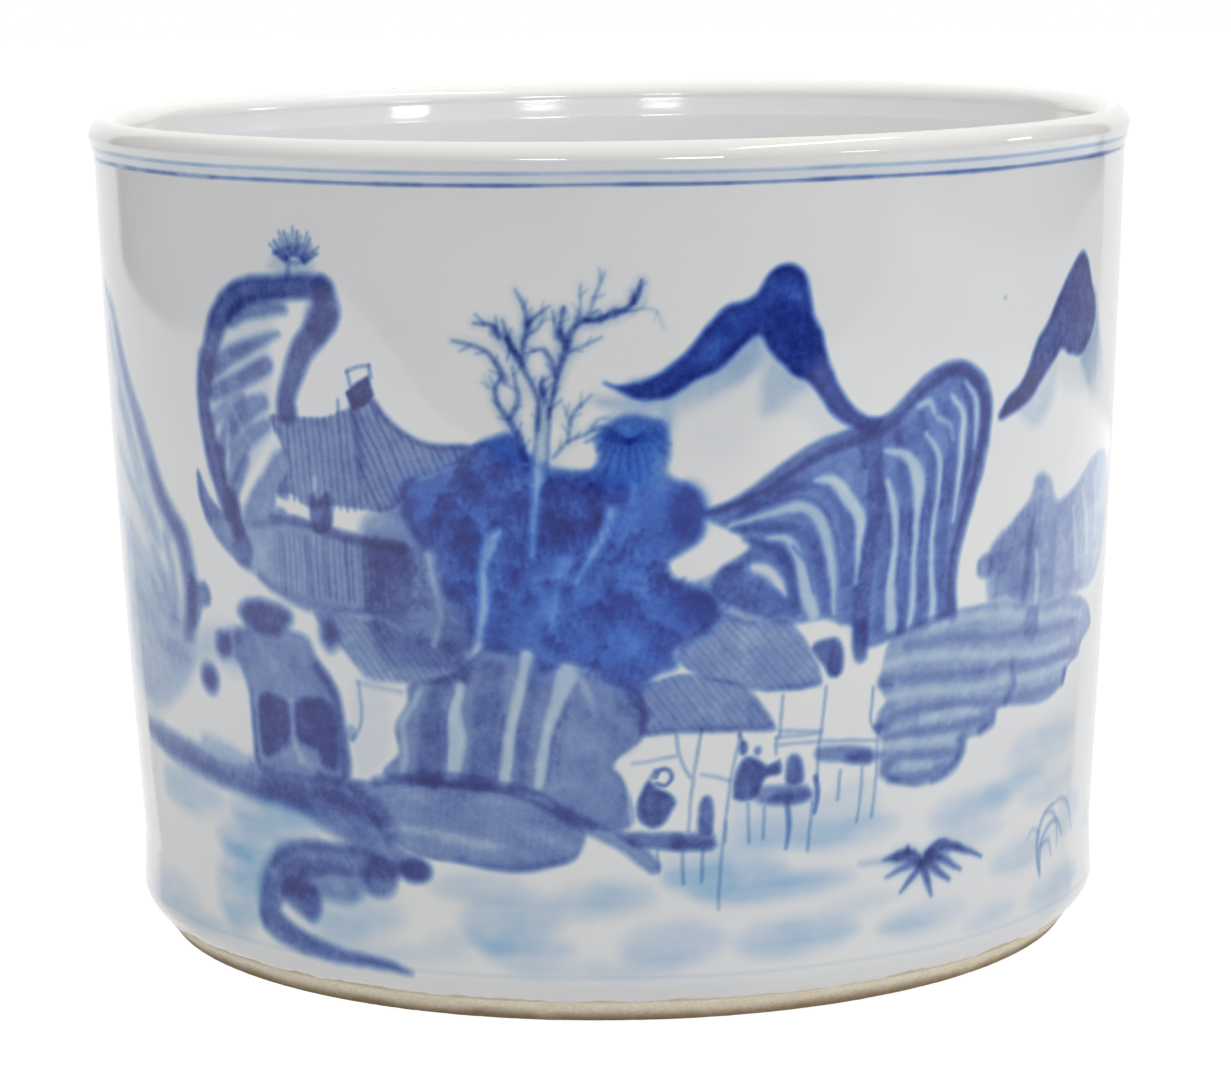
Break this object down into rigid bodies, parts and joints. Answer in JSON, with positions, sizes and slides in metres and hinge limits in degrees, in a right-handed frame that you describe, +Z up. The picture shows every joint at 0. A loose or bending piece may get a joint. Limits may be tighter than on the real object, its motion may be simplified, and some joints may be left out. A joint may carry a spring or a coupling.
{
  "type": "brush pot",
  "caption": "Wide round porcelain brush pot with an open well, rounded lip and bare bevelled foot, painted with a blue landscape, for standing brushes in.",
  "frame": {"origin": "centre of the foot ring's resting face", "axes": "+Z up along the pot's axis; -Y faces the side with the pavilions in front"},
  "size_m": [0.204, 0.204, 0.16],
  "materials": {
    "biscuit_porcelain": "matt, unglazed",
    "painted_glaze": "gloss, cobalt blue painting under a clear glaze",
    "plain_glaze": "gloss, clear glaze over white body"
  },
  "bodies": {
    "root": {"porcelain_body": "biscuit_porcelain", "outer_glaze": "painted_glaze", "inner_glaze": "plain_glaze", "base_glaze": "plain_glaze"}
  },
  "joints": []
}
